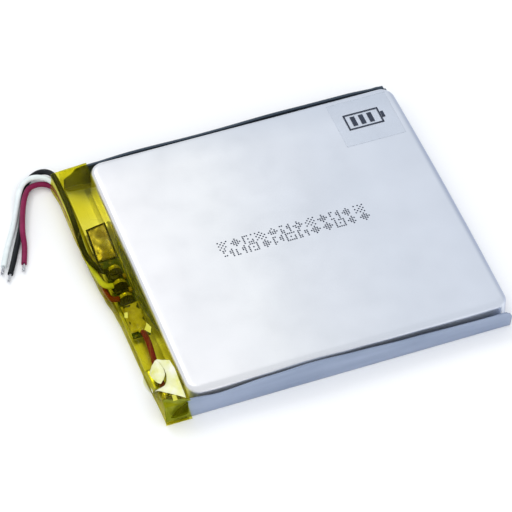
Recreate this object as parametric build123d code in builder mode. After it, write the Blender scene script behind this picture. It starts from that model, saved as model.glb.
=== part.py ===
from build123d import *
import os
from math import pi, radians, tan

# Lithium-ion pouch cell with a protection board on its terrace and three free leads.
# Millimetres. The origin is the centre of the pouch's flat underside, +Z is up, +X is the
# folded end of the pouch and -X is the terrace end, where the tabs and the leads come out.

# ---- Pouch envelope -----------------------------------------------------------------
fold_end_x = 34.0            # the folded end
terrace_end_x = -33.7        # outer edge of the terrace seal
cup_front_x = -29.2          # front wall of the drawn cup
cell_width = 61.0            # over the folded-up side seals
cell_thickness = 6.0
laminate = 0.15              # aluminium laminate film
side_seal_gap = 0.5          # between a folded-up side seal and the cup wall
side_seal_front_height = 5.2
side_seal_back_height = 4.5
side_seal_corner = 0.9
side_seal_end_drop = 0.3     # lower at the terrace's outer edge than at the cup
cup_corner_radius = 3.0
cup_edge_radius = 1.2
terrace_lift = 0.10          # the terrace sits this much above the flat underside

# ---- Tabs and their seals -----------------------------------------------------------
tab_width = 5.0
tab_thickness = 0.10
seal_film = 0.05
seal_film_width = 7.0
positive_tab_y = -21.2
negative_tab_y = 14.5
tab_root_x = -27.7
tab_return_x = -30.4
seal_bump_margin = 0.5       # the cup half stands up over the films and this far past them
seal_film_setback = 0.5      # from the terrace's outer edge to the films
seal_film_inside = 0.3       # the films reach this far into the cup

# ---- Electrode stack ----------------------------------------------------------------
cathode_count = 14
anode_count = 15
plate_thickness = 0.16
separator_thickness = 0.03
separator_length = 59.2
separator_width = 56.4
anode_margin = 0.5           # separator past the anode on each edge
cathode_margin = 1.0
stack_front_x = -26.6
stack_bottom_z = 0.19
tongue_thickness = 0.02      # bare foil in front of each plate
strap_places_x = (-12.0, 18.0)
strap_width = 8.0
strap_thickness = 0.06
strap_height = 4.5
strap_middle_z = 3.0
weld_length = 1.0            # foil bundle lying on the tab's root
weld_height = 0.2
bundle_top_drop = 0.1        # below the stack's top
bundle_bow_x = -27.25        # the bundle's bowed front passes through this place
bundle_bow_z = 2.2

# ---- Protection board ---------------------------------------------------------------
board_width = 3.6
board_thickness = 0.6
board_bottom_z = 0.95
board_near_y = -10.5
board_far_y = 11.8
board_x = -31.6              # centre line of the board
board_corner_radius = 0.3
foam_half_width = 1.6
foam_near_inset = 0.5
foam_far_inset = 3.6          # the negative pad strip lies under the board's far end
card_x = (-33.3, -29.9)      # insulating card lying on the two packages
card_y = (-8.9, -3.1)
card_lift = 0.03             # above the taller package
card_thickness = 0.12
pad_strip_x = (-33.2, -29.9)
positive_strip_y = (-26.4, -18.8)
negative_strip_y = (8.4, 17.4)
pad_strip_thickness = 0.15

# ---- Components: length, width, height, and where each stands on the board ------------
ic_size = (2.9, 1.5, 1.0)
ic_y = -4.3
ic_pins = (-0.95, 0.0, 0.95)
mosfet_size = (3.0, 2.2, 0.9)
mosfet_y = -7.2
mosfet_pins = (-0.975, -0.325, 0.325, 0.975)
resistor_size = (1.0, 0.5, 0.35)
resistor_places = ((-32.5, 0.5), (-31.1, 0.5))
capacitor_size = (0.5, 1.0, 0.5)
capacitor_places = ((-30.2, 0.5), (-30.2, 4.0))
thermistor_size = (1.6, 0.8, 0.8)
thermistor_place = (-32.0, 4.0)
component_edge = 0.08
pin_width = 0.3
pin_thickness = 0.12
pin_reach = 0.12             # level part beside the body
pin_foot_reach = 0.35
pin_rise = 0.35

# ---- Solder -------------------------------------------------------------------------
lead_joint_size = (2.6, 2.3, 1.1)
lead_joint_edge_x = -33.0    # outer end of each lead joint
lead_joint_y = {"red": -1.2, "white": 2.2, "black": 5.8}
jumper_board_joint_size = (1.6, 1.2, 0.8)
jumper_board_joint_place = (-31.3, -9.6)
jumper_tab_joint_size = (1.6, 1.6, 0.8)
jumper_tab_joint_place = (-32.0, -25.6)
joint_corner_share = 0.35    # of the joint's width
joint_top_share = 0.45       # of the joint's height

# ---- Leads and jumper ---------------------------------------------------------------
lead_diameter = 1.1
strand_diameter = 0.5
strand_length = 2.0
strand_end_edge = 0.12
jumper_diameter = 1.1
arc_share = 0.45             # part of the shorter run that each arc takes up

# ---- Wrapping tape and label --------------------------------------------------------
tape_thickness = 0.10
tape_top_z = 5.5             # where the tape meets the cup's front wall
tape_clearance = 0.01        # between the tape's inner edge and the laminate below it
tape_side_height = 4.9       # of the short wraps round both side seals
tape_side_end_x = -28.9
tape_mouth_x = (-36.8, -34.4)     # opening that the leads leave through
tape_mouth_z = (0.1, 3.7)
tape_mouth_depth = 0.2
overlap_start_y = 24.0       # the second turn lies from here to the far end
overlap_share = 0.62         # of the way from the cup to the knee
label_length = 12.4
label_width = 11.6
label_thickness = 0.05
label_corner_radius = 0.6
label_centre = (26.0, 22.6)

half_width = cell_width / 2
cup_half_width = half_width - 2 * laminate - side_seal_gap
seal_inner_y = half_width - 2 * laminate
terrace_split_z = terrace_lift + laminate
terrace_top_z = terrace_split_z + laminate
tab_gap = tab_thickness + 2 * seal_film
bump_top_z = terrace_split_z + tab_gap + laminate
tab_z = terrace_split_z + seal_film + tab_thickness / 2
board_top_z = board_bottom_z + board_thickness
stack_pitch = plate_thickness + separator_thickness
stack_centre_x = stack_front_x + separator_length / 2
tab_places = {"positive": positive_tab_y, "negative": negative_tab_y}

# The positive strip lies on its tab at the board's top; the negative one is under the board.
strip_bottom_z = {"positive": board_top_z, "negative": board_bottom_z - pad_strip_thickness}
strip_span_y = {"positive": positive_strip_y, "negative": negative_strip_y}
pad_top_z = strip_bottom_z["positive"] + pad_strip_thickness


def save(piece, name):
    piece.label = name
    export_step(piece, f"parts/{name}.step")


def block(low, high):
    """Box between two opposite corners, joined to the part being built."""
    middle = [(a + b) / 2 for a, b in zip(low, high)]
    with Locations(tuple(middle)):
        Box(*[b - a for a, b in zip(low, high)])


def block_cut(low, high):
    """The same box, cut away."""
    middle = [(a + b) / 2 for a, b in zip(low, high)]
    with Locations(tuple(middle)):
        Box(*[b - a for a, b in zip(low, high)], mode=Mode.SUBTRACT)


def side_seal_layer(inner_y, base_z):
    """One upright layer of a folded-up side seal, on both sides of the pouch."""
    for side in (1, -1):
        middle_y = side * (inner_y + laminate / 2)
        with BuildSketch(Plane.XZ.offset(-middle_y)) as outline:
            with BuildLine():
                Polyline(
                    (terrace_end_x, base_z),
                    (terrace_end_x, side_seal_front_height - side_seal_end_drop),
                    (cup_front_x, side_seal_front_height),
                    (fold_end_x, side_seal_back_height),
                    (fold_end_x, base_z),
                    close=True,
                )
            make_face()
            top_back = vertices().sort_by(Axis.X)[-2:].sort_by(Axis.Y)[-1]
            fillet(top_back, side_seal_corner)
        extrude(outline.sketch, amount=laminate / 2, both=True)


os.makedirs("parts", exist_ok=True)

# ---- Pouch laminate: the flat half under the cell ------------------------------------
with BuildPart() as pouch_flat_half:
    block((cup_front_x - laminate, -half_width, 0), (fold_end_x, half_width, laminate))
    block(
        (terrace_end_x, -half_width, terrace_lift),
        (cup_front_x, half_width, terrace_split_z),
    )
    side_seal_layer(seal_inner_y + laminate, terrace_lift)
save(pouch_flat_half.part, "pouch_flat_half")

# ---- Pouch laminate: the drawn cup, its rim, its terrace and its side seals -----------
with BuildPart() as pouch_cup_half:
    with BuildSketch(Plane.XY.offset(laminate)):
        with Locations(((cup_front_x + fold_end_x) / 2, 0)):
            RectangleRounded(fold_end_x - cup_front_x, 2 * cup_half_width, cup_corner_radius)
    extrude(amount=cell_thickness - laminate)
    fillet(faces().sort_by(Axis.Z)[-1].edges(), cup_edge_radius)
    offset(amount=-laminate, openings=faces().sort_by(Axis.Z)[0])
    for side in (1, -1):
        rim = sorted((side * (cup_half_width - laminate), side * (seal_inner_y + laminate)))
        block(
            (cup_front_x, rim[0], laminate),
            (fold_end_x - cup_corner_radius, rim[1], 2 * laminate),
        )
    block(
        (terrace_end_x, -half_width + laminate, terrace_split_z),
        (cup_front_x + laminate, half_width - laminate, terrace_top_z),
    )
    side_seal_layer(seal_inner_y, terrace_split_z)
    for tab_y in tab_places.values():
        pocket = seal_film_width / 2
        bump = pocket + seal_bump_margin
        block(
            (terrace_end_x, tab_y - bump, terrace_split_z),
            (cup_front_x, tab_y + bump, bump_top_z),
        )
        block_cut(
            (terrace_end_x - 1, tab_y - pocket, terrace_split_z),
            (cup_front_x + 2 * laminate, tab_y + pocket, terrace_split_z + tab_gap),
        )
save(pouch_cup_half.part, "pouch_cup_half")


# ---- Electrode stack: plates, folded separator and the straps that hold it -----------
def plate_stack(count, first_index, margin, tongue_y):
    """Every other slot of the stack filled with a plate that has a foil tongue in front."""
    length = separator_length - 2 * margin
    width = separator_width - 2 * margin
    for index in range(count):
        bottom = stack_bottom_z + separator_thickness + (first_index + 2 * index) * stack_pitch
        middle = bottom + plate_thickness / 2
        with Locations((stack_centre_x, 0, middle)):
            Box(length, width, plate_thickness)
        block(
            (stack_front_x, tongue_y - tab_width / 2, middle - tongue_thickness / 2),
            (stack_front_x + margin, tongue_y + tab_width / 2, middle + tongue_thickness / 2),
        )


with BuildPart() as anode_plates:
    plate_stack(anode_count, 0, anode_margin, negative_tab_y)
save(anode_plates.part, "anode_plates")

with BuildPart() as cathode_plates:
    plate_stack(cathode_count, 1, cathode_margin, positive_tab_y)
save(cathode_plates.part, "cathode_plates")

layer_count = anode_count + cathode_count
with BuildPart() as separator_z_fold:
    with BuildSketch(Plane.YZ.offset(stack_front_x)):
        for layer in range(layer_count + 1):
            level = stack_bottom_z + separator_thickness / 2 + layer * stack_pitch
            with Locations((0, level)):
                Rectangle(separator_width, separator_thickness)
            if layer < layer_count:
                turn_side = 1 if layer % 2 else -1
                turn_y = turn_side * (separator_width - separator_thickness) / 2
                with Locations((turn_y, level + stack_pitch / 2)):
                    Rectangle(separator_thickness, stack_pitch + separator_thickness)
    extrude(amount=separator_length)
save(separator_z_fold.part, "separator_z_fold")

stack_top_z = stack_bottom_z + layer_count * stack_pitch + separator_thickness
with BuildPart() as stack_tape_straps:
    for strap_x in strap_places_x:
        for side in (1, -1):
            strap_y = side * (separator_width + strap_thickness) / 2
            with Locations((strap_x, strap_y, strap_middle_z)):
                Box(strap_width, strap_thickness, strap_height)
save(stack_tape_straps.part, "stack_tape_straps")

# ---- Foil bundles, tabs and tab seal films -------------------------------------------
foot_z = tab_z + tab_thickness / 2
weld_top_z = foot_z + weld_height
bundle_top_z = stack_top_z - bundle_top_drop
for polarity, tab_y in tab_places.items():
    with BuildPart() as foil_bundle:
        with BuildSketch(Plane.XZ.offset(-tab_y)):
            with BuildLine():
                Polyline(
                    (tab_root_x, weld_top_z),
                    (tab_root_x - weld_length, weld_top_z),
                    (tab_root_x - weld_length, foot_z),
                    (stack_front_x, foot_z),
                    (stack_front_x, bundle_top_z),
                )
                ThreePointArc(
                    (stack_front_x, bundle_top_z),
                    (bundle_bow_x, bundle_bow_z),
                    (tab_root_x, weld_top_z),
                )
            make_face()
        extrude(amount=tab_width / 2, both=True)
    save(foil_bundle.part, f"{polarity}_foil_bundle")

    # The tab leaves through the terrace seal and folds back over it, under its pad strip.
    return_z = strip_bottom_z[polarity] - tab_thickness / 2
    with BuildPart() as tab:
        with BuildLine(Plane.XZ.offset(-tab_y)) as tab_path:
            Line((tab_root_x, tab_z), (terrace_end_x, tab_z))
            ThreePointArc(
                (terrace_end_x, tab_z),
                (terrace_end_x - (return_z - tab_z) / 2, (tab_z + return_z) / 2),
                (terrace_end_x, return_z),
            )
            Line((terrace_end_x, return_z), (tab_return_x, return_z))
        with BuildSketch(Plane(origin=tab_path.line @ 0, z_dir=tab_path.line % 0)):
            Rectangle(tab_thickness, tab_width)
        sweep()
    save(tab.part, f"{polarity}_tab")

    with BuildPart() as seal_films:
        block(
            (terrace_end_x + seal_film_setback, tab_y - seal_film_width / 2, terrace_split_z),
            (
                cup_front_x + seal_film_inside,
                tab_y + seal_film_width / 2,
                terrace_split_z + tab_gap,
            ),
        )
        block_cut(
            (terrace_end_x, tab_y - tab_width / 2, tab_z - tab_thickness / 2),
            (tab_root_x, tab_y + tab_width / 2, tab_z + tab_thickness / 2),
        )
    save(seal_films.part, f"{polarity}_tab_seal_films")

# ---- Terrace: foam strip, insulating card, board and pad strips -----------------------
with BuildPart() as terrace_foam_strip:
    block(
        (board_x - foam_half_width, board_near_y + foam_near_inset, terrace_top_z),
        (board_x + foam_half_width, board_far_y - foam_far_inset, board_bottom_z),
    )
save(terrace_foam_strip.part, "terrace_foam_strip")

with BuildPart() as insulating_card:
    card_bottom_z = board_top_z + max(ic_size[2], mosfet_size[2]) + card_lift
    block(
        (card_x[0], card_y[0], card_bottom_z),
        (card_x[1], card_y[1], card_bottom_z + card_thickness),
    )
save(insulating_card.part, "insulating_card")

with BuildPart() as circuit_board:
    with BuildSketch(Plane.XY.offset(board_bottom_z)):
        with Locations((board_x, (board_near_y + board_far_y) / 2)):
            RectangleRounded(board_width, board_far_y - board_near_y, board_corner_radius)
    extrude(amount=board_thickness)
save(circuit_board.part, "circuit_board")

for polarity, (near_y, far_y) in strip_span_y.items():
    strip_z = strip_bottom_z[polarity]
    with BuildPart() as pad_strip:
        block(
            (pad_strip_x[0], near_y, strip_z),
            (pad_strip_x[1], far_y, strip_z + pad_strip_thickness),
        )
    save(pad_strip.part, f"{polarity}_pad_strip")


# ---- Components on the board ---------------------------------------------------------
def chip(place, size):
    """A moulded or ceramic package standing on the board, its top edges eased."""
    with BuildPart() as body:
        with Locations((*place, board_top_z + size[2] / 2)):
            Box(*size)
        fillet(body.faces().sort_by(Axis.Z)[-1].edges(), component_edge)
    return body.part


def gull_pins(place, span, offsets):
    """Bent pins on both long sides of a package whose body is as wide as span."""
    x, y = place
    knee = pin_reach + pin_thickness
    bends = (
        (0, pin_reach, pin_rise, pin_rise + pin_thickness),
        (pin_reach, knee, 0, pin_rise + pin_thickness),
        (pin_reach, pin_foot_reach, 0, pin_thickness),
    )
    with BuildPart() as pins:
        for side in (1, -1):
            start = y + side * span / 2
            for along in offsets:
                for low, high, z_low, z_high in bends:
                    ends = sorted((start + side * low, start + side * high))
                    block(
                        (x + along - pin_width / 2, ends[0], board_top_z + z_low),
                        (x + along + pin_width / 2, ends[1], board_top_z + z_high),
                    )
    return pins.part


for name, y, size, pins in (
    ("protection_ic", ic_y, ic_size, ic_pins),
    ("dual_mosfet", mosfet_y, mosfet_size, mosfet_pins),
):
    place = (board_x, y)
    save(chip(place, size) + gull_pins(place, size[1], pins), name)
save(Compound([chip(place, resistor_size) for place in resistor_places]), "chip_resistors")
save(Compound([chip(place, capacitor_size) for place in capacitor_places]), "chip_capacitors")
save(chip(thermistor_place, thermistor_size), "thermistor")


# ---- Solder --------------------------------------------------------------------------
def solder_joint(place, base_z, size):
    """A rounded mound of solder, long along X."""
    length, width, height = size
    with BuildPart() as mound:
        with Locations((*place, base_z + height / 2)):
            Box(length, width, height)
        fillet(mound.edges().filter_by(Axis.Z), width * joint_corner_share)
        fillet(mound.faces().sort_by(Axis.Z)[-1].edges(), height * joint_top_share)
    return mound.part


lead_joint_x = lead_joint_edge_x + lead_joint_size[0] / 2
lead_joints = [
    solder_joint((lead_joint_x, y), board_top_z, lead_joint_size) for y in lead_joint_y.values()
]
save(Compound(lead_joints), "lead_solder_joints")

jumper_joints = [
    solder_joint(jumper_board_joint_place, board_top_z, jumper_board_joint_size),
    solder_joint(jumper_tab_joint_place, pad_top_z, jumper_tab_joint_size),
]
save(Compound(jumper_joints), "jumper_solder_joints")


# ---- Wires ---------------------------------------------------------------------------
def arc_radii(points):
    """One arc radius for each inner point: as large as the two runs beside it allow."""
    spots = [Vector(*point) for point in points]
    radii = []
    for before, here, after in zip(spots, spots[1:], spots[2:]):
        turn = (here - before).get_angle(after - here)
        shorter = min((here - before).length, (after - here).length)
        radii.append(arc_share * shorter / tan(radians(turn) / 2))
    return radii


def wire_tube(name, points, diameter):
    """A round wire along straight runs joined by tangent arcs."""
    radii = arc_radii(points)
    with BuildPart() as tube:
        with BuildLine() as route:
            FilletPolyline(*points, radius=radii)
        with BuildSketch(Plane(origin=route.line @ 0, z_dir=route.line % 0)):
            Circle(diameter / 2)
        sweep()
    length = route.wires()[0].length
    section = pi * diameter**2 / 4
    print(f"{name}: length {length:.2f}, volume ratio {tube.part.volume / section / length:.4f}")
    save(tube.part, name)


def strand_tip(name, points):
    """The stripped and tinned strands that stand out of the wire's end."""
    end = Vector(*points[-1])
    along = (end - Vector(*points[-2])).normalized()
    with BuildPart() as tip:
        with BuildSketch(Plane(origin=end, z_dir=along)):
            Circle(strand_diameter / 2)
        extrude(amount=strand_length)
        far_face = tip.faces().filter_by(GeomType.PLANE).sort_by_distance(end)[-1]
        fillet(far_face.edges(), strand_end_edge)
    save(tip.part, name)


lead_routes = {
    # Starts on top of the other two in the tape, turns back under them, then lies between.
    "black": [
        (-33.0, 5.8, 2.3), (-33.9, 5.85, 2.45), (-34.7, 6.6, 3.1), (-35.6, 8.8, 3.08),
        (-35.8, 12.0, 3.0), (-35.4, 17.0, 3.0), (-35.05, 22.5, 3.01), (-35.1, 26.8, 3.0),
        (-35.1, 30.3, 3.0),
        (-35.4, 33.1, 2.75), (-37.3, 35.0, 1.75), (-39.5, 34.8, 0.7), (-41.1, 32.6, 0.55),
        (-42.3, 29.7, 0.55), (-43.2, 26.9, 0.55), (-44.4, 23.9, 0.55), (-45.85, 20.9, 0.55),
        (-47.4, 17.9, 0.55), (-48.6, 15.4, 0.55), (-50.0, 12.8, 0.55),
    ],
    # Middle of the stack, then the outermost lead on the floor.
    "white": [
        (-33.0, 2.2, 2.15), (-34.1, 2.2, 2.15), (-34.9, 3.9, 1.84), (-35.3, 7.2, 1.82),
        (-35.35, 11.8, 1.82), (-35.15, 17.5, 1.83), (-35.1, 23.2, 1.82), (-35.1, 27.6, 1.84),
        (-35.3, 30.8, 1.87), (-36.8, 32.9, 1.95), (-39.3, 33.6, 2.25), (-41.5, 32.7, 2.1),
        (-43.0, 30.4, 1.6), (-44.4, 27.3, 0.7), (-46.2, 23.5, 0.55), (-48.0, 20.4, 0.55),
        (-49.5, 17.5, 0.55), (-50.7, 15.0, 0.55),
    ],
    # Bottom of the stack, then over the black lead in a long low hump.
    "red": [
        (-33.0, -1.2, 2.15), (-34.1, -1.2, 2.15), (-34.65, 0.5, 1.35), (-34.6, 3.1, 0.69),
        (-34.7, 7.6, 0.67), (-35.05, 13.0, 0.68), (-35.05, 19.0, 0.67), (-35.1, 24.3, 0.68),
        (-35.1, 28.2, 0.67), (-35.6, 31.1, 0.74), (-37.6, 32.6, 0.9), (-40.2, 32.2, 1.2),
        (-41.7, 30.1, 1.65), (-43.0, 27.2, 1.8), (-44.1, 24.0, 1.75), (-45.0, 21.0, 1.7),
        (-45.3, 18.9, 0.95), (-45.9, 16.9, 0.55), (-46.8, 14.4, 0.55),
    ],
}
for colour, route_points in lead_routes.items():
    wire_tube(f"lead_{colour}", route_points, lead_diameter)
    strand_tip(f"lead_{colour}_tip", route_points)

# Bridges the board's near end and the positive pad strip, held at both ends.
jumper_route = [
    (-31.3, -10.2, 2.15), (-31.2, -12.6, 2.4), (-31.45, -15.6, 2.55), (-31.85, -18.6, 2.5),
    (-32.1, -21.8, 2.42), (-32.0, -24.8, 2.3),
]
wire_tube("jumper_red", jumper_route, jumper_diameter)

# ---- Tape over the terrace -----------------------------------------------------------
# One section across the tape for each place along Y: its knee, and its foot on the floor.
tape_sections = {
    -half_width - tape_thickness: ((-34.15, 5.4), -34.15),
    -25.0: ((-34.15, 4.0), -34.5),
    -22.0: ((-34.1, 3.4), -34.65),
    -4.5: ((-34.9, 3.3), -34.8),
    3.0: ((-35.85, 3.9), -35.5),
    9.0: ((-36.5, 3.7), -35.65),
    13.0: ((-36.65, 3.8), -35.75),
    17.0: ((-36.3, 4.2), -35.95),
    overlap_start_y: ((-35.95, 4.4), -35.95),
    half_width + tape_thickness: ((-36.1, 5.0), -36.4),
}
tape_root_x = cup_front_x - laminate - tape_clearance
with BuildPart() as end_tape_wrap:
    for inset, role in ((0, Mode.ADD), (tape_thickness, Mode.SUBTRACT)):
        for section_y, ((knee_x, knee_z), foot_x) in tape_sections.items():
            inner_y = max(-half_width, min(half_width, section_y)) if inset else section_y
            with BuildSketch(Plane.XZ.offset(-inner_y)):
                with BuildLine():
                    Polyline(
                        (tape_root_x + inset, inset),
                        (cup_front_x + inset, tape_top_z - inset),
                        (knee_x + inset, knee_z - inset),
                        (foot_x + inset, inset),
                        close=True,
                    )
                make_face()
        loft(ruled=True, mode=role)
    block_cut(
        (tape_mouth_x[0], half_width, tape_mouth_z[0]),
        (tape_mouth_x[1], half_width + tape_mouth_depth, tape_mouth_z[1]),
    )
    for side in (1, -1):
        wrap = sorted((side * half_width, side * (half_width + tape_thickness)))
        block(
            (tape_root_x - tape_thickness, wrap[0], 0),
            (tape_side_end_x, wrap[1], tape_side_height),
        )
save(end_tape_wrap.part, "end_tape_wrap")

# A second turn of the same tape lies over the far end of the first.
with BuildPart() as end_tape_overlap:
    for section_y in (overlap_start_y, half_width + tape_thickness):
        (knee_x, knee_z), _ = tape_sections[section_y]
        edge_x = cup_front_x + overlap_share * (knee_x - cup_front_x)
        edge_z = tape_top_z + overlap_share * (knee_z - tape_top_z)
        with BuildSketch(Plane.XZ.offset(-section_y)):
            with BuildLine():
                Polyline(
                    (cup_front_x, tape_top_z),
                    (cup_front_x, tape_top_z + tape_thickness / 2),
                    (edge_x, edge_z + tape_thickness / 2),
                    (edge_x, edge_z),
                    close=True,
                )
            make_face()
    loft(ruled=True)
save(end_tape_overlap.part, "end_tape_overlap")

# ---- Label on the cup's top ----------------------------------------------------------
with BuildPart() as clear_label:
    with BuildSketch(Plane.XY.offset(cell_thickness)):
        with Locations(label_centre):
            RectangleRounded(label_length, label_width, label_corner_radius)
    extrude(amount=label_thickness)
save(clear_label.part, "clear_label")
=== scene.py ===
import math
import random

import bmesh
import bpy
from mathutils import Matrix, Vector, noise


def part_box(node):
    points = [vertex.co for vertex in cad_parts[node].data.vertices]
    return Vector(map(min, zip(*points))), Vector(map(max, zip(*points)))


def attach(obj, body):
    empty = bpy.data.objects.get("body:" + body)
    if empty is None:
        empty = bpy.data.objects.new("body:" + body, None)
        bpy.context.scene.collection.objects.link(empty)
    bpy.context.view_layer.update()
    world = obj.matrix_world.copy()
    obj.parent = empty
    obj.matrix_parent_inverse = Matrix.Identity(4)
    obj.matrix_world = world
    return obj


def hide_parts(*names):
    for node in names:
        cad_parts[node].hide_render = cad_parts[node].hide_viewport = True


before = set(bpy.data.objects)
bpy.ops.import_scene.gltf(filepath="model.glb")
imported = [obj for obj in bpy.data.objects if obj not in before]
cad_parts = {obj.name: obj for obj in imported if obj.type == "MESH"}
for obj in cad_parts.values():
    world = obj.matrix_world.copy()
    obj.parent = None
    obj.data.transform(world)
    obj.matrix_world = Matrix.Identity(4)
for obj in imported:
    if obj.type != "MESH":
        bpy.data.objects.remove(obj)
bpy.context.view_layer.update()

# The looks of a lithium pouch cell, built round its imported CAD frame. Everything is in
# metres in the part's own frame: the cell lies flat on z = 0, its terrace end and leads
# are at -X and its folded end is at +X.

MM = 0.001
BODY = "root"

# ---- Places taken from the frame ----------------------------------------------------
cup_low, cup_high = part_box("pouch_cup_half")
label_low, label_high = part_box("clear_label")

FOLD_X = cup_high.x  # folded end of the cup
TERRACE_X = cup_low.x  # outer edge of the terrace
CUP_TOP = cup_high.z
HALF_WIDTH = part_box("pouch_flat_half")[1].y  # over the folded-up side seals
CUP_FRONT = TERRACE_X + 4.5 * MM  # front wall of the cup
CUP_HALF = HALF_WIDTH - 0.8 * MM  # the cup's side walls
BOARD_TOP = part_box("circuit_board")[1].z / MM  # in millimetres, and so is CARD_TOP
CARD_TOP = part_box("insulating_card")[1].z / MM
LEAD_DIAMETER = 1.1 * MM
FILM = 0.05 * MM  # thickness of the tape's film


# ---- Camera -------------------------------------------------------------------------
def add_camera():
    azimuth, elevation, roll = (math.radians(a) for a in (-20.76, 49.28, 0.63))
    distance = 533.6 * MM
    target = Vector((-4.63, 1.68, 0)) * MM
    back = Vector((math.sin(azimuth) * math.cos(elevation),
                   -math.cos(azimuth) * math.cos(elevation),
                   math.sin(elevation)))
    right = Vector((0, 0, 1)).cross(back).normalized()
    turn = Matrix.Rotation(roll, 3, back)
    right = turn @ right
    up = back.cross(right)
    camera = bpy.data.cameras.new("camera")
    camera.lens = 197.05
    camera.sensor_width = 36
    camera.clip_start = 0.01
    camera.clip_end = 10
    eye = bpy.data.objects.new("camera", camera)
    pose = Matrix((right, up, back)).transposed().to_4x4()
    pose.translation = target + back * distance
    eye.matrix_world = pose
    bpy.context.collection.objects.link(eye)
    bpy.context.scene.camera = eye


add_camera()


# ---- Node material helpers ----------------------------------------------------------
class Shader:
    """A material's node tree, with short names for the nodes used here."""

    def __init__(self, name):
        self.material = bpy.data.materials.new(name)
        self.material.use_nodes = True
        self.nodes = self.material.node_tree.nodes
        self.links = self.material.node_tree.links
        self.principled = self.nodes["Principled BSDF"]
        self.output = self.nodes["Material Output"]
        self.place = self.nodes.new("ShaderNodeTexCoord").outputs["Object"]

    def set(self, **values):
        for name, value in values.items():
            socket = self.principled.inputs[name.replace("_", " ")]
            socket.default_value = value

    def scaled(self, scale):
        mapping = self.nodes.new("ShaderNodeMapping")
        mapping.inputs["Scale"].default_value = scale if isinstance(scale, tuple) else (scale,) * 3
        self.links.new(self.place, mapping.inputs["Vector"])
        return mapping.outputs["Vector"]

    def noise(self, scale, detail=4.0, roughness=0.5):
        node = self.nodes.new("ShaderNodeTexNoise")
        node.inputs["Scale"].default_value = 1.0
        node.inputs["Detail"].default_value = detail
        node.inputs["Roughness"].default_value = roughness
        self.links.new(self.scaled(scale), node.inputs["Vector"])
        return node.outputs["Fac"]

    def voronoi(self, scale, feature="F1"):
        node = self.nodes.new("ShaderNodeTexVoronoi")
        node.feature = feature
        node.inputs["Scale"].default_value = 1.0
        self.links.new(self.scaled(scale), node.inputs["Vector"])
        return node.outputs["Distance"]

    def ramp(self, value, *stops):
        """Colours or greys along a value: stops are (position, colour or grey)."""
        node = self.nodes.new("ShaderNodeValToRGB")
        band = node.color_ramp
        while len(band.elements) < len(stops):
            band.elements.new(0.5)
        for element, (position, colour) in zip(band.elements, stops):
            element.position = position
            grey = isinstance(colour, (int, float))
            element.color = (colour, colour, colour, 1) if grey else (*colour, 1)
        self.links.new(value, node.inputs["Fac"])
        return node.outputs["Color"]

    def math(self, operation, a, b=0.0):
        node = self.nodes.new("ShaderNodeMath")
        node.operation = operation
        for socket, value in zip(node.inputs, (a, b)):
            if isinstance(value, (int, float)):
                socket.default_value = value
            else:
                self.links.new(value, socket)
        return node.outputs["Value"]

    def mix(self, share, a, b):
        node = self.nodes.new("ShaderNodeMix")
        node.data_type = "RGBA"
        for name, value in (("Factor", share), ("A", a), ("B", b)):
            kind = "VALUE" if name == "Factor" else "RGBA"
            socket = next(s for s in node.inputs if s.name == name and s.type == kind)
            if isinstance(value, (int, float)):
                socket.default_value = value
            elif isinstance(value, tuple):
                socket.default_value = (*value, 1)
            else:
                self.links.new(value, socket)
        return next(s for s in node.outputs if s.type == "RGBA")

    def colour(self, value):
        self.links.new(value, self.principled.inputs["Base Color"])

    def rough(self, value):
        self.links.new(value, self.principled.inputs["Roughness"])

    def bump(self, value, strength, distance):
        node = self.nodes.new("ShaderNodeBump")
        node.inputs["Strength"].default_value = strength
        node.inputs["Distance"].default_value = distance
        self.links.new(value, node.inputs["Height"])
        self.links.new(node.outputs["Normal"], self.principled.inputs["Normal"])

    def axis(self, name):
        node = self.nodes.new("ShaderNodeSeparateXYZ")
        self.links.new(self.place, node.inputs["Vector"])
        return node.outputs[name]


# ---- Materials ----------------------------------------------------------------------
def laminate_material():
    """Satin foil with painted light: paler by the terrace and bluer by the fold as a painted
    highlight, with painted shade in a dark line along the fold and towards the far edge.
    """
    m = Shader("laminate_satin")
    m.set(Metallic=0.85, Roughness=0.34, IOR=1.5)
    along = m.math("MULTIPLY", m.math("ADD", m.axis("X"), 0.034), 14.7)  # 0 to 1 over X
    # painted highlight: pale by the terrace, bluer towards the fold; the last stop is a dark line
    # of painted shade along the fold
    painted_lighting_tone = m.ramp(along, (0.0, (0.905, 0.885, 0.880)), (0.35, (0.885, 0.892, 0.896)),
                  (0.53, (0.785, 0.807, 0.845)), (0.75, (0.755, 0.790, 0.850)),
                  (0.982, (0.735, 0.775, 0.848)), (0.996, (0.40, 0.45, 0.58)))
    # painted shade: darker towards the far edge
    far = m.ramp(m.math("MULTIPLY", m.axis("Y"), 30), (0.70, 0.0), (0.87, 0.14))
    blotch = m.ramp(m.noise(55, detail=3), (0.3, 0.07), (0.7, 0.0))
    m.colour(m.mix(m.math("ADD", far, blotch), painted_lighting_tone, (0.30, 0.38, 0.50)))
    m.rough(m.ramp(m.noise(160, detail=5), (0.3, 0.30), (0.7, 0.40)))
    m.bump(m.noise(900, detail=3, roughness=0.6), 0.06, 0.00004)
    return m.material


def seal_material(name, dark, light, under_tape=0.0):
    """Satin laminate seen edge-on, in a darker copy of the cup's colour as painted shade;
    under_tape is how much paler it is inside the tape.
    """
    m = Shader(name)
    m.set(Metallic=0.8, Roughness=0.42)
    streak = m.noise((60, 60, 500), detail=3)
    taped = m.ramp(m.math("MULTIPLY", m.axis("X"), -25), (0.72, 0.0), (0.76, under_tape))
    m.colour(m.mix(taped, m.ramp(streak, (0.3, dark), (0.7, light)), (0.75, 0.78, 0.80)))
    m.rough(m.ramp(m.noise(300, detail=4), (0.3, 0.34), (0.7, 0.5)))
    m.bump(m.noise((500, 500, 900), detail=3), 0.10, 0.00005)
    return m.material


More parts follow.
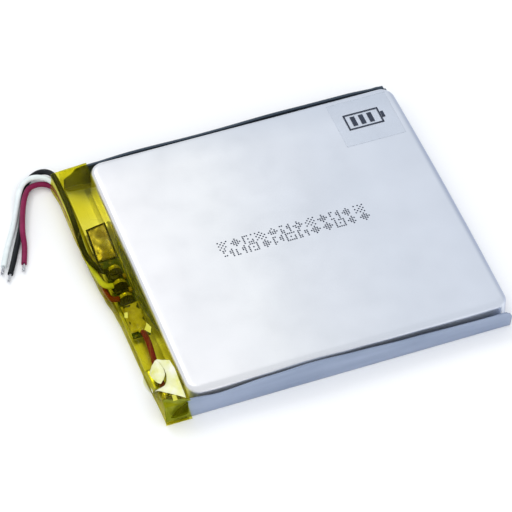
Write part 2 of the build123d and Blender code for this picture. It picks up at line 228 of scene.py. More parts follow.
def film_shader(m, tint, haze, rim):
    """Clear tinted film with some haze, and more mirror towards grazing sight."""
    clear = m.nodes.new("ShaderNodeBsdfTransparent")
    if isinstance(tint, tuple):
        clear.inputs["Color"].default_value = (*tint, 1)
    else:
        m.links.new(tint, clear.inputs["Color"])
    facing = m.nodes.new("ShaderNodeLayerWeight")
    facing.inputs["Blend"].default_value = 0.5
    mirror = m.math("MULTIPLY", m.math("POWER", facing.outputs["Facing"], 4.0), rim)
    blend = m.nodes.new("ShaderNodeMixShader")
    m.links.new(m.math("ADD", haze, mirror), blend.inputs["Fac"])
    m.links.new(clear.outputs["BSDF"], blend.inputs[1])
    m.links.new(m.principled.outputs["BSDF"], blend.inputs[2])
    m.links.new(blend.outputs["Shader"], m.output.inputs["Surface"])
    return m.material


def tape_material():
    """Glossy film: what lies under it shows through, tinted, deeper over the board."""
    m = Shader("lemon_tape")
    m.set(Roughness=0.12, IOR=1.5, Specular_IOR_Level=0.6)
    m.colour(m.ramp(m.noise(230, detail=4), (0.3, (0.36, 0.34, 0.01)), (0.7, (0.56, 0.52, 0.04))))
    m.bump(m.noise(420, detail=4, roughness=0.6), 0.20, 0.00008)
    along = m.math("MULTIPLY", m.math("ADD", m.axis("Y"), 0.031), 16.1)  # 0 to 1 over Y
    place = m.ramp(along, (0.05, 0.50), (0.10, 0.40), (0.34, 0.34), (0.46, 0.28), (0.60, 0.32),
                   (0.70, 0.62), (1.0, 0.58))
    depth = m.math("ADD", m.noise((200, 110, 200), detail=5, roughness=0.6), place)
    tint = m.ramp(depth, (0.72, (0.82, 0.80, 0.24)), (1.0, (0.935, 0.92, 0.46)),
                  (1.2, (0.965, 0.945, 0.52)))
    crease = m.ramp(m.voronoi((520, 170, 520), "DISTANCE_TO_EDGE"), (0.0, 0.16), (0.035, 0.0))
    marked = m.ramp(m.noise((150, 80, 150), detail=3), (0.50, 0.0), (0.66, 1.0))
    haze = m.math("ADD", m.ramp(m.noise(150, detail=3), (0.40, 0.0), (0.75, 0.035)),
                  m.math("MULTIPLY", crease, marked))
    return film_shader(m, tint, haze, 0.40)


def shaded_film_material():
    """Several layers of the film on edge, dark green with painted shade of the gap beside the cup
    and behind the near end.
    """
    m = Shader("film_painted_shade")
    m.set(Roughness=0.15, IOR=1.5)
    m.colour(m.ramp(m.noise(500, detail=4), (0.3, (0.10, 0.11, 0.005)), (0.7, (0.20, 0.20, 0.01))))
    m.bump(m.noise(700, detail=3), 0.2, 0.00006)
    return film_shader(m, (0.66, 0.68, 0.12), m.ramp(m.noise(300), (0.4, 0.05), (0.7, 0.3)), 0.3)


def painted_glare_material(name, roughness, alpha, grain, detail, *stops):
    """Pale or bright film that hides most of what it covers: painted glare and glints on the tape.
    """
    m = Shader(name)
    m.set(Roughness=roughness, IOR=1.45, Alpha=alpha)
    m.colour(m.ramp(m.noise(grain, detail=detail), *stops))
    m.bump(m.noise(380, detail=3), 0.15, 0.00006)
    return m.material


def insulation_material(name, dark, light, gloss=0.3):
    m = Shader(name)
    m.set(Roughness=0.45, IOR=1.45, Specular_IOR_Level=gloss)
    m.colour(m.ramp(m.noise(700, detail=3), (0.3, dark), (0.7, light)))
    m.bump(m.noise(2600, detail=3), 0.12, 0.00003)
    return m.material


def metal_material(name, dark, light, rough_low, rough_high, grain=(900, 900, 900), bump=0.15):
    m = Shader(name)
    m.set(Metallic=1.0)
    m.colour(m.ramp(m.noise(grain, detail=4), (0.3, dark), (0.7, light)))
    m.rough(m.ramp(m.noise(600, detail=3), (0.3, rough_low), (0.7, rough_high)))
    m.bump(m.noise(grain, detail=4), bump, 0.00004)
    return m.material


def plastic_material(name, dark, light, rough_low, rough_high, scale=600):
    m = Shader(name)
    m.colour(m.ramp(m.noise(scale, detail=4), (0.3, dark), (0.7, light)))
    m.rough(m.ramp(m.noise(scale * 1.7, detail=3), (0.3, rough_low), (0.7, rough_high)))
    m.bump(m.noise(scale * 4, detail=3), 0.12, 0.00004)
    return m.material


def board_material():
    """Solder mask with copper lands showing through as a coarse pattern."""
    m = Shader("solder_mask")
    m.set(Roughness=0.3, Coat_Weight=0.4)
    lands = m.ramp(m.voronoi(900), (0.22, 0.0), (0.26, 1.0))
    m.colour(m.mix(lands, (0.16, 0.14, 0.04), (0.008, 0.040, 0.020)))
    m.bump(m.voronoi(900), 0.3, 0.00003)
    return m.material


def label_material():
    m = Shader("label_film")
    m.set(Roughness=0.2)
    m.colour(m.ramp(m.noise(180, detail=2), (0.3, (0.58, 0.64, 0.70)), (0.7, (0.70, 0.75, 0.80))))
    m.bump(m.noise(500, detail=2), 0.08, 0.00004)
    return film_shader(m, (0.992, 0.994, 0.997),
                       m.ramp(m.noise(150, detail=3), (0.35, 0.02), (0.75, 0.06)), 0.3)


def ink_material():
    m = Shader("ink")
    m.set(Roughness=0.5)
    m.colour(m.ramp(m.noise(2500, detail=4), (0.35, (0.006, 0.012, 0.030)),
                    (0.65, (0.018, 0.030, 0.060))))
    m.bump(m.noise(6000, detail=2), 0.2, 0.00001)
    return m.material


LAMINATE = laminate_material()
# Both side seals are darker copies of the laminate: painted shade, deepest on the far seal in its
# narrow gap.
SHADED_NEAR_SEAL = seal_material("near_seal_painted_shade", (0.30, 0.36, 0.48), (0.38, 0.44, 0.57))
SHADED_FAR_SEAL = seal_material("far_seal_painted_shade", (0.055, 0.075, 0.10), (0.09, 0.115, 0.145), 0.30)
TAPE = tape_material()
# Pale patches on the film: painted glare.
GLARE_FILM = painted_glare_material("painted_glare_film", 0.28, 0.9, (420, 300, 420), 3,
                             (0.32, (0.76, 0.76, 0.20)), (0.48, (0.85, 0.86, 0.50)),
                             (0.66, (0.91, 0.90, 0.76)))
# Bright yellow patches on the film: painted glints.
GLINT_FILM = painted_glare_material("painted_glint_film", 0.25, 0.85, (300, 200, 300), 4,
                                   (0.3, (0.62, 0.60, 0.03)), (0.7, (0.78, 0.76, 0.12)))
SHADED_FILM = shaded_film_material()
RED = insulation_material("red_insulation", (0.17, 0.006, 0.045), (0.23, 0.010, 0.066), 0.25)
WHITE = insulation_material("white_insulation", (0.70, 0.77, 0.76), (0.82, 0.87, 0.86))
BLACK = insulation_material("black_insulation", (0.004, 0.005, 0.007), (0.010, 0.012, 0.015),
                            0.22)
JUMPER = insulation_material("jumper_insulation", (0.16, 0.004, 0.16), (0.23, 0.008, 0.26), 0.15)
TINNED = metal_material("tinned_strands", (0.48, 0.49, 0.52), (0.68, 0.69, 0.71), 0.22, 0.4)
LAND = metal_material("tinned_strip", (0.22, 0.17, 0.10), (0.55, 0.48, 0.34), 0.18, 0.42,
                      (420, 420, 420), 0.3)
TAB = metal_material("aluminium_tab", (0.70, 0.71, 0.72), (0.84, 0.85, 0.86), 0.25, 0.4,
                     (2500, 300, 300))
BRIGHT_SOLDER = metal_material("bright_solder", (0.50, 0.44, 0.32), (0.85, 0.80, 0.66), 0.10, 0.28,
                               (800, 800, 800), 0.25)
# Near black: painted shade on the solder joints' near sides, and the dark rim round the negative
# strip.
NEAR_BLACK = plastic_material("near_black_fill", (0.003, 0.003, 0.002), (0.018, 0.015, 0.008), 0.12, 0.3)
CARD = plastic_material("cover_card", (0.30, 0.24, 0.12), (0.92, 0.86, 0.64), 0.22, 0.5, 330)
LABEL = label_material()
INK = ink_material()


# ---- Mesh helpers -------------------------------------------------------------------
def link(name, data, material, replaces=()):
    """A piece of the visual model, in place of the CAD nodes it replaces."""
    piece = bpy.data.objects.new(name, data)
    bpy.context.collection.objects.link(piece)
    data.materials.append(material)
    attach(piece, BODY)
    if replaces:
        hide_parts(*replaces)
    return piece


def mesh_from(name, points, faces, smooth=True):
    mesh = bpy.data.meshes.new(name)
    mesh.from_pydata([tuple(p) for p in points], [], faces)
    mesh.validate()
    if smooth:
        mesh.polygons.foreach_set("use_smooth", [True] * len(mesh.polygons))
    return mesh


def grid_faces(rows, columns, closed=False):
    """Quads of a grid of points stored row by row; closed joins the last column to the first."""
    faces = []
    for r in range(rows - 1):
        for c in range(columns if closed else columns - 1):
            d = (c + 1) % columns
            a, b = r * columns, (r + 1) * columns
            faces.append((a + c, a + d, b + d, b + c))
    return faces


def sheet_faces(rows, columns):
    """Faces of a closed thin sheet: a grid, a second one facing the other way, and the rim."""
    count = rows * columns
    upper = grid_faces(rows, columns)
    rim = ([c for c in range(columns)]
           + [r * columns + columns - 1 for r in range(1, rows)]
           + [(rows - 1) * columns + c for c in range(columns - 2, -1, -1)]
           + [r * columns for r in range(rows - 2, 0, -1)])
    return (upper + [tuple(count + i for i in f[::-1]) for f in upper]
            + [(b, a, count + a, count + b) for a, b in zip(rim, rim[1:] + rim[:1])])


def thickened(rows, columns, points, offset):
    """A grid of points given a second layer, offset from the first, as a closed thin sheet."""
    normals = [Vector() for _ in points]
    for face in grid_faces(rows, columns):
        a, b, c, d = (points[i] for i in face)
        normal = (c - a).cross(d - b)
        for i in face:
            normals[i] += normal
    inner = [p - n.normalized() * offset for p, n in zip(points, normals)]
    return list(points) + inner, sheet_faces(rows, columns)


def thin_sheet(rows, columns, place, thickness):
    """A closed thin sheet through place(t, u), in millimetres, for t and u from 0 to 1."""
    points = [place(r / (rows - 1), c / (columns - 1)) * MM
              for r in range(rows) for c in range(columns)]
    return thickened(rows, columns, points, thickness)


def rungs(left, right, per_segment):
    """Pairs of points, one on each of two outlines of (x, y) points with as many points."""
    sides = [[Vector(p) for p in outline] for outline in (left, right)]
    last = len(left) - 1
    for r in range(last * per_segment + 1):
        step, part = divmod(r, per_segment)
        after = min(step + 1, last)
        yield [side[step].lerp(side[after], part / per_segment) for side in sides]


def link_sheets(name, sheets, material, replaces=()):
    """One piece made of closed sheets, each of them given as its points and faces."""
    points, faces = [], []
    for sheet_points, its_faces in sheets:
        base = len(points)
        points += sheet_points
        faces += [tuple(base + i for i in face) for face in its_faces]
    link(name, mesh_from(name, points, faces), material, replaces)


def smooth_step(x, low, high):
    t = min(1.0, max(0.0, (x - low) / (high - low)))
    return t * t * (3 - 2 * t)


def curve_through(x, points):
    """Smooth value at x between given (x, value) points."""
    if x <= points[0][0]:
        return points[0][1]
    for (xa, va), (xb, vb) in zip(points, points[1:]):
        if x <= xb:
            return va + (vb - va) * smooth_step(x, xa, xb)
    return points[-1][1]


# ---- Leads --------------------------------------------------------------------------
# Each lead's route in millimetres, from its solder joint out to its stripped end.
LEAD_ROUTES = {
    "black": [
        (-33.0, 5.8, 2.3), (-33.9, 5.85, 2.45), (-34.7, 6.6, 3.1), (-35.6, 8.8, 3.08),
        (-35.8, 12.0, 3.0), (-35.4, 17.0, 3.0), (-35.05, 22.5, 3.01), (-35.1, 26.8, 3.0),
        (-35.1, 30.3, 3.0), (-35.4, 33.1, 2.75), (-37.3, 35.0, 1.75), (-39.5, 34.8, 0.7),
        (-41.1, 32.6, 0.55), (-42.3, 29.7, 0.55), (-43.2, 26.9, 0.55), (-44.4, 23.9, 0.55),
        (-45.85, 20.9, 0.55), (-47.4, 17.9, 0.55), (-48.6, 15.4, 0.55), (-50.0, 12.8, 0.55),
    ],
    "white": [
        (-33.0, 2.2, 2.15), (-34.1, 2.2, 2.15), (-34.9, 3.9, 1.84), (-35.3, 7.2, 1.82),
        (-35.35, 11.8, 1.82), (-35.15, 17.5, 1.83), (-35.1, 23.2, 1.82), (-35.1, 27.6, 1.84),
        (-35.3, 30.8, 1.87), (-36.8, 32.9, 1.95), (-39.3, 33.6, 2.25), (-41.5, 32.7, 2.1),
        (-43.0, 30.4, 1.6), (-44.4, 27.3, 0.7), (-46.2, 23.5, 0.55), (-48.0, 20.4, 0.55),
        (-49.5, 17.5, 0.55), (-50.7, 15.0, 0.55),
    ],
    "red": [
        (-33.0, -1.2, 2.15), (-34.1, -1.2, 2.15), (-34.65, 0.5, 1.35), (-34.6, 3.1, 0.69),
        (-34.7, 7.6, 0.67), (-35.05, 13.0, 0.68), (-35.05, 19.0, 0.67), (-35.1, 24.3, 0.68),
        (-35.1, 28.2, 0.67), (-35.6, 31.1, 0.74), (-37.6, 32.6, 0.9), (-40.2, 32.2, 1.2),
        (-41.7, 30.1, 1.65), (-43.0, 27.2, 1.8), (-44.1, 24.0, 1.75), (-45.0, 21.0, 1.7),
        (-45.3, 18.9, 0.95), (-45.9, 16.9, 0.55), (-46.8, 14.4, 0.55),
    ],
}


def strand_bundle(name, start, along, length):
    """Seven twisted, tinned strands, a little splayed at the cut end."""
    side = along.cross(Vector((0, 0, 1))).normalized()
    up = side.cross(along)
    rows, columns, strand, spread, twist = 15, 8, 0.085 * MM, 0.165 * MM, 2.6
    points, faces = [], []
    for wire in range(7):
        base = len(points)
        ring = 0.0 if wire == 0 else spread
        phase = wire * math.tau / 6
        for r in range(rows):
            t = r / (rows - 1)
            angle = phase + t * twist
            reach = ring * (1 + 0.25 * t * t)
            cut = length * t * (1 - 0.05 * (wire % 3))
            centre = start + along * cut + (side * math.cos(angle) + up * math.sin(angle)) * reach
            size = strand * (0.45 if r == rows - 1 else 1.0)
            for c in range(columns):
                a = c * math.tau / columns
                points.append(centre + (side * math.cos(a) + up * math.sin(a)) * size)
        faces += [tuple(base + i for i in face) for face in grid_faces(rows, columns, closed=True)]
        faces.append(tuple(base + (rows - 1) * columns + c for c in range(columns)))
        faces.append(tuple(base + c for c in reversed(range(columns))))
    return mesh_from(name, points, faces)


def add_lead(colour, material):
    points = [Vector(p) * MM for p in LEAD_ROUTES[colour]]
    curve = bpy.data.curves.new(f"lead_{colour}_insulation", "CURVE")
    curve.dimensions = "3D"
    spline = curve.splines.new("NURBS")
    spline.points.add(len(points) - 1)
    for knot, point in zip(spline.points, points):
        knot.co = (*point, 1)
    spline.order_u = 3
    spline.use_endpoint_u = True
    spline.resolution_u = 8
    curve.bevel_depth = LEAD_DIAMETER / 2
    curve.bevel_resolution = 5
    curve.use_fill_caps = True
    lead = link(f"lead_{colour}_insulation", curve, material,
                [f"lead_{colour}"])
    along = (points[-1] - points[-2]).normalized()
    tip_mesh = strand_bundle(f"lead_{colour}_strands", points[-1] - along * 0.1 * MM, along,
                             2.05 * MM)
    tip = link(f"lead_{colour}_strands", tip_mesh, TINNED, [f"lead_{colour}_tip"])


add_lead("black", BLACK)
add_lead("white", WHITE)
add_lead("red", RED)


# ---- Pouch --------------------------------------------------------------------------
CUP_CENTRE = (CUP_FRONT + FOLD_X) / 2
CUP_HALF_LENGTH = (FOLD_X - CUP_FRONT) / 2
FAR_SHIFT = 0.4 * MM  # the cup's far wall lies close to its side seal
CORNER_RADII = [r * MM for r in (2.4, 2.8, 3.0, 2.6)]  # fold near, far; terrace far, near
WALL_INSET = 0.08 * MM  # how far the top edge stands in from the foot of the wall
EDGE_RADIUS = 1.2 * MM


def rounded_outline(inset, per_side, per_corner):
    """Points round the cup's plan, drawn in by inset, anticlockwise from the near edge."""
    half_x, half_y = CUP_HALF_LENGTH - inset, CUP_HALF - inset
    points = []
    for quarter in range(4):
        radius = max(CORNER_RADII[quarter] - inset, 0.25 * MM)
        sign_x = 1 if quarter in (0, 1) else -1
        sign_y = -1 if quarter in (0, 3) else 1
        centre = Vector((sign_x * (half_x - radius), sign_y * (half_y - radius), 0))
        start = math.radians(-90 + 90 * quarter)
        corner = [centre + Vector((math.cos(start + math.pi / 2 * k / per_corner),
                                   math.sin(start + math.pi / 2 * k / per_corner), 0)) * radius
                  for k in range(per_corner + 1)]
        if points:
            points += between(points[-1], corner[0], per_side)
        points += corner
    return points + between(points[-1], points[0], per_side)


def between(a, b, count):
    return [a.lerp(b, k / (count + 1)) for k in range(1, count + 1)]


DENTS = [
    # (x, y, radius along x, radius along y, depth), all in millimetres
    (-14, 12, 16, 13, 0.10), (9, -14, 17, 9, 0.08), (22, 6, 9, 15, 0.07),
    (-20, -12, 7, 12, 0.06), (2, 22, 20, 5, 0.06), (26, -20, 6, 7, 0.05),
]


def top_height(x, y):
    """How far the cup's top stands above or below flat: a soft crown, dents and ripples."""
    u = (x - CUP_CENTRE) / CUP_HALF_LENGTH
    v = y / CUP_HALF
    crown = 0.14 * MM * max(0.0, 1 - u ** 4) * max(0.0, 1 - v ** 4)
    dent = 0.0
    for cx, cy, rx, ry, depth in DENTS:
        d = ((x / MM - cx) / rx) ** 2 + ((y / MM - cy) / ry) ** 2
        dent += depth * MM * math.exp(-d)
    edge = max(0.0, 1 - max(abs(u), abs(v)) ** 10)
    ripple = noise.noise(Vector((x, y, 0)) * 70) * 0.05 * MM
    return crown - dent * edge + ripple * edge


def cup_mesh():
    per_side, per_corner = 46, 12
    rings = [(0.0, 0.15 * MM), (0.0, 0.7 * MM), (0.02 * MM, 2.0 * MM), (0.05 * MM, 3.4 * MM),
             (WALL_INSET, CUP_TOP - EDGE_RADIUS)]
    edge_steps, top_steps = 8, 45
    for k in range(1, edge_steps + 1):
        a = math.pi / 2 * k / edge_steps
        rings.append((WALL_INSET + EDGE_RADIUS * (1 - math.cos(a)),
                      CUP_TOP - EDGE_RADIUS * (1 - math.sin(a))))
    inset = rings[-1][0]
    centre_inset = CUP_HALF - 0.3 * MM
    for k in range(1, top_steps + 1):
        rings.append((inset + (centre_inset - inset) * (k / top_steps) ** 1.15, CUP_TOP))
    points = []
    for ring_inset, z in rings:
        for p in rounded_outline(ring_inset, per_side, per_corner):
            rise = smooth_step(z, CUP_TOP - 1.6 * MM, CUP_TOP)
            q = Vector((p.x + CUP_CENTRE, p.y, z))
            q.z += top_height(q.x, q.y) * rise
            if p.x > 0:  # the folded end bows out in the middle
                bow = (1 - (p.y / CUP_HALF) ** 2) * 0.35 * MM
                q.x += bow * smooth_step(p.x, CUP_HALF_LENGTH - 6 * MM, CUP_HALF_LENGTH)
            q.y += FAR_SHIFT * smooth_step(p.y, CUP_HALF - 8 * MM, CUP_HALF)
            wobble = noise.noise(Vector((q.x, q.y, q.z)) * 220) * 0.05 * MM
            wall = 1 - smooth_step(z, CUP_TOP - 1.0 * MM, CUP_TOP)
            q.y += math.copysign(wobble * wall, p.y)
            points.append(q)
    columns = len(rounded_outline(0, per_side, per_corner))
    faces = grid_faces(len(rings), columns, closed=True)
    last = (len(rings) - 1) * columns
    faces.append(tuple(last + c for c in range(columns)))
    faces.append(tuple(reversed(range(columns))))
    return mesh_from("pouch_cup", points, faces)


link("pouch_cup", cup_mesh(), LAMINATE, ["pouch_cup_half"])

# Height of each folded-up side seal's upper edge along X, and how far it leans from upright,
# in millimetres.
NEAR_EDGE = [(-33.8, 4.5), (-31.5, 4.8), (-29.6, 5.3), (-23.6, 4.6), (-14.0, 5.2), (-5.8, 5.6),
             (4.0, 5.1), (12.4, 4.7), (26.2, 4.35), (33.2, 4.5), (34.0, 3.9)]
NEAR_LEAN = [(-33.8, -2.0), (-31.5, -1.1), (-29.6, -0.15), (-28.8, 0.0), (-20.0, 0.0),
             (0.0, -0.05), (16.0, 0.1), (34.0, 0.35)]
FAR_EDGE = [(-33.8, 2.6), (-32.6, 3.4), (-31.0, 4.9), (-29.3, 5.2), (-20.0, 5.6), (-5.0, 5.5),
            (10.0, 5.7), (25.0, 5.7), (31.0, 5.4), (33.0, 5.0), (34.0, 3.9)]
FAR_LEAN = [(-33.8, 0.1), (-10.0, 0.05), (10.0, 0.2), (30.0, 0.1), (34.0, 0.5)]
SEAL_THICKNESS = 0.30 * MM


def side_seal_mesh(name, side, edge, lean):
    """The folded-up seal strip: two bonded layers of laminate, a closed thin band."""
    columns, rows = 180, 14
    outer, inner = [], []
    for r in range(rows):
        t = r / (rows - 1)
        for c in range(columns):
            x = TERRACE_X + (FOLD_X - TERRACE_X) * c / (columns - 1)
            mm = x / MM
            top = curve_through(mm, edge) * MM
            if mm > 33.2:  # the upper corner at the fold is round
                top = min(top, (3.2 + math.sqrt(max(0.0, 0.81 - (mm - 33.1) ** 2))) * MM)
            z = top * t
            fold = 0.35 * MM * (1 - smooth_step(t, 0, 0.09))
            wave = noise.noise(Vector((x * 90, side * 3, z * 120))) * 0.10 * MM * t
            y = HALF_WIDTH + curve_through(mm, lean) * MM * t - fold * 0.4 + wave
            outer.append(Vector((x, side * y, z)))
            inner.append(Vector((x, side * (y - SEAL_THICKNESS), max(z, 0.15 * MM))))
    faces = sheet_faces(rows, columns)
    return mesh_from(name, outer + inner, faces if side > 0 else [f[::-1] for f in faces])


def pouch_base_mesh():
    """The flat half under the cup, with the terrace that stands a little higher."""
    points = []
    rows, columns, margin = 60, 40, 0.12 * MM
    for thickness in (0.0, 0.15 * MM):
        for r in range(rows):
            x = TERRACE_X + (FOLD_X - 0.1 * MM - TERRACE_X) * r / (rows - 1)
            lift = 0.10 * MM * (1 - smooth_step(x, CUP_FRONT - 0.4 * MM, CUP_FRONT))
            top = thickness * (2 if x < CUP_FRONT - 0.2 * MM else 1)
            for c in range(columns):
                y = -HALF_WIDTH + margin + 2 * (HALF_WIDTH - margin) * c / (columns - 1)
                points.append(Vector((x, y, lift + top)))
    return mesh_from("pouch_base", points, sheet_faces(rows, columns), smooth=False)


link("pouch_base", pouch_base_mesh(), LAMINATE, ["pouch_flat_half"])
link("near_side_seal", side_seal_mesh("near_side_seal", -1, NEAR_EDGE, NEAR_LEAN), SHADED_NEAR_SEAL)
# The far seal's near-black colour is painted shade of the gap behind the cup.
link("far_side_seal", side_seal_mesh("far_side_seal", 1, FAR_EDGE, FAR_LEAN), SHADED_FAR_SEAL)


# ---- Tape over the terrace ----------------------------------------------------------
# The film runs from the cup's shoulder to the knee, down to the foot and under. Each row of
# its line holds Y, the knee's X and Z and the foot's X, in millimetres.
SHOULDER = (-29.06, 5.42)
TAPE_HALF = 30.78  # half the wrap's width along Y
TAPE_LINE = [
    (-30.75, -34.05, 5.35, -33.95), (-29.3, -34.0, 5.3, -33.95), (-26.5, -33.85, 4.3, -34.0),
    (-23.2, -33.75, 3.3, -34.15), (-19.6, -33.9, 3.0, -34.3), (-12.0, -34.1, 3.0, -34.35),
    (-7.0, -34.3, 3.1, -34.4), (-3.3, -34.7, 3.3, -34.65), (1.0, -35.45, 3.6, -35.25),
    (4.0, -35.95, 3.9, -35.5), (9.0, -36.5, 3.7, -35.6), (13.0, -36.6, 3.8, -35.7),
    (17.0, -36.25, 4.2, -35.95),
    (26.0, -35.95, 4.5, -35.9), (30.75, -36.1, 5.0, -36.4),
]
# How strongly the film is wrinkled at each place along Y.
CRINKLE = [(-30, 0.5), (-22, 0.8), (-14, 0.9), (-8, 1.0), (2, 1.0), (9, 0.6), (14, 0.25),
           (26, 0.3)]


def tape_row(y):
    """The knee's X and Z and the foot's X at a place along Y."""
    return [curve_through(y, [(row[0], row[k]) for row in TAPE_LINE]) for k in (1, 2, 3)]


def ridged(x, y, seed):
    return (1 - abs(noise.noise(Vector((x, y, seed))) * 2)) ** 5


def wrinkle(x, y):
    """Height of the film's creases and soft buckles at a place, in millimetres."""
    taut = ridged(x * 0.35 + y * 0.20, y * 0.16 - x * 0.25, 2.0) * 0.16
    fine = ridged(x * 0.9, y * 0.55, 8.0) * 0.07
    soft = noise.noise(Vector((x * 0.5, y * 0.28, 5.0))) * 0.22
    along = smooth_step(y, -14, -11) * (1 - smooth_step(y, 7, 11))
    lines = sum(0.11 * math.exp(-((x - line - 0.02 * y) / 0.09) ** 2)
                for line in (-29.35, -29.75, -30.2)) * along
    return (taut + fine + soft) * curve_through(y, CRINKLE) + lines


def tape_point(s, y):
    """A point on the film in millimetres: s is 0 at the cup, 1 at the knee, 2 at the foot."""
    knee_x, knee_z, foot_x = tape_row(y)
    corners = [SHOULDER, (knee_x, knee_z), (foot_x, 0.06), (CUP_FRONT / MM - 0.2, 0.05)]

    def at(k):
        index = min(2, max(0, int(k)))
        (ax, az), (bx, bz) = corners[index], corners[index + 1]
        t = min(1.0, k - index)
        return Vector((ax + (bx - ax) * t, y, az + (bz - az) * t))

    rounding = 0.09
    p = sum((at(min(3, max(0, s + k * rounding / 2))) for k in (-2, -1, 0, 1, 2)), Vector()) / 5
    sag = math.sin(math.pi * min(1, s)) * 0.16 if s < 1 else 0.0
    fold = wrinkle(p.x, y)
    if s < 1:
        p.z += (fold - sag) * smooth_step(s, 0.02, 0.2)
        p.x -= fold * 0.3 * smooth_step(s, 0.5, 1.0)
    elif s < 2:
        p.x -= (fold * 0.5 + noise.noise(Vector((p.z * 0.9, y * 0.4, 9.0))) * 0.12) * (
            1 - smooth_step(s, 1.6, 1.95))
        p.z += fold * (1 - smooth_step(s, 1.0, 1.3))
    return p


def film_over(x, y, lift):
    """The point that is lift above the film's upper sheet at a place in plan."""
    knee_x = tape_row(y)[0]
    share = (x - SHOULDER[0]) / (knee_x - SHOULDER[0])
    p = tape_point(min(1.25, max(0.0, share)), y)
    return Vector((x, y, p.z + lift))


def main_sheet():
    return thin_sheet(120, 230, lambda t, u: tape_point(3 * t, TAPE_HALF * (2 * u - 1)), FILM)


WALL_LEAN = 1.3  # how far the near end's top leans in, in millimetres
PATCH = 0.03 * MM  # thickness of the small folds


def end_gusset():
    """The film's folded-in corner behind its near end, dark with painted shade that shows through
    it.
    """
    low = [(-32.9, 1.5), (-32.2, 1.2), (-31.2, 1.25), (-30.2, 1.4), (-29.5, 1.6)]
    high = [(-32.8, 1.8), (-32.0, 2.9), (-31.1, 4.0), (-30.2, 4.7), (-29.6, 4.9)]
    points, across = [], 10
    rows = list(rungs(low, high, 5))
    for a, b in rows:
        for c in range(across):
            u = c / (across - 1)
            p = a.lerp(b, u)  # x and z
            lean = WALL_LEAN * (p.y / 5.4) ** 2 * (1 - smooth_step((p.x + 34) / 4.6, 0.0, 0.75))
            points.append(Vector((p.x, -30.60 + lean + 0.12 * math.sin(math.pi * u), p.y)) * MM)
    return thickened(len(rows), across, points, PATCH)


def near_wall():
    """The film's near end, pulled down over the end of the folded-up side seal."""
    def place(t, u):
        x = -33.97 + u * (5.05 - 1.0 * t)
        z = 0.06 + 5.3 * t
        lean = WALL_LEAN * t * t * (1 - smooth_step(u, 0.0, 0.75))
        bulge = 0.16 * math.sin(math.pi * t) * math.exp(-((u - 0.14) / 0.12) ** 2)
        buckle = noise.noise(Vector((x * 0.7, z * 0.5, 3.0))) * 0.10
        return Vector((x, -30.86 + lean - bulge + buckle * math.sin(math.pi * t), z))

    return thin_sheet(26, 30, place, -FILM)


def far_wall():
    """The film's far end, with the opening that the leads leave through left free."""
    def place(t, u):
        outer = -34.1 - 0.4 * t
        x = outer + u * (-28.9 - outer)
        z = 0.06 + (4.9 + 0.4 * u) * t
        buckle = noise.noise(Vector((x * 0.6, z * 0.6, 6.0))) * 0.10
        return Vector((x, 30.84 + buckle * math.sin(math.pi * t), z))

    return thin_sheet(20, 30, place, FILM)


def strip_over_film(left, right, lift, bulge=0.0, across=12):
    """A patch on the film between two outlines given as (x, y) points in millimetres."""
    rows = list(rungs(left, right, 6))
    points = []
    for r, (a, b) in enumerate(rows):
        for c in range(across):
            u = c / (across - 1)
            p = a.lerp(b, u)
            rise = bulge * math.sin(math.pi * u) * math.sin(math.pi * r / (len(rows) - 1))
            points.append(film_over(p.x, p.y, lift + rise) * MM)
    return thickened(len(rows), across, points, -PATCH)


# Far and near end along Y of each pleat of film beside the cup, dark with painted shade of the gap
# between board and cup wall.
PLEATS = ((14.0, -14.5), (12.0, -13.8), (10.5, -13.0), (8.0, -11.0))


def add_tape():
    link_sheets("terrace_tape", [main_sheet(), near_wall(), far_wall()], TAPE,
                ["end_tape_wrap"])
    far_end = strip_over_film([(-28.95, 30.7), (-28.95, 27.0), (-29.0, 24.2)],
                              [(-35.8, 30.7), (-35.2, 28.0), (-34.4, 25.4)], 0.07, 0.05)
    link_sheets("tape_second_turn", [far_end], TAPE, ["end_tape_overlap"])
    pleats = []
    for index, (far_y, near_y) in enumerate(PLEATS):
        left, right = [], []
        for k in range(13):
            y = far_y + (near_y - far_y) * k / 12
            taper = math.sin(math.pi * min(1, 0.08 + 0.9 * k / 12)) ** 0.5
            x = -29.22 - 0.36 * index * taper + 0.10 * noise.noise(Vector((index * 7, y * 0.5, 1)))
            left.append((x, y))
            right.append((x - 0.26 * taper - 0.02, y + 0.05))
        pleats.append(strip_over_film(left, right, 0.06, 0.10, across=6))
    link_sheets("tape_edge_fold", pleats + [end_gusset()], SHADED_FILM)


# Outlines of the pale patches of painted glare near the film's corner.
GLARE_FLAP_LEFT = [(-31.75, -18.9), (-31.3, -20.2), (-31.12, -21.6), (-31.15, -22.9), (-31.6, -24.4),
             (-32.2, -25.2), (-33.3, -25.5), (-34.2, -25.5)]
GLARE_FLAP_RIGHT = [(-31.6, -18.95), (-29.7, -20.6), (-29.45, -22.6), (-29.55, -24.9), (-29.6, -26.4),
              (-29.65, -27.6), (-29.7, -28.8), (-29.8, -30.0)]
GLARE_LENS_LEFT = [(-32.0, -18.95), (-32.8, -19.5), (-33.4, -20.3), (-33.75, -21.1), (-33.7, -22.0),
             (-33.4, -22.9), (-33.1, -23.7)]
GLARE_LENS_RIGHT = [(-31.75, -18.95), (-31.35, -20.1), (-31.16, -21.2), (-31.18, -22.0), (-31.3, -22.8),
              (-31.9, -23.7), (-32.7, -24.3)]


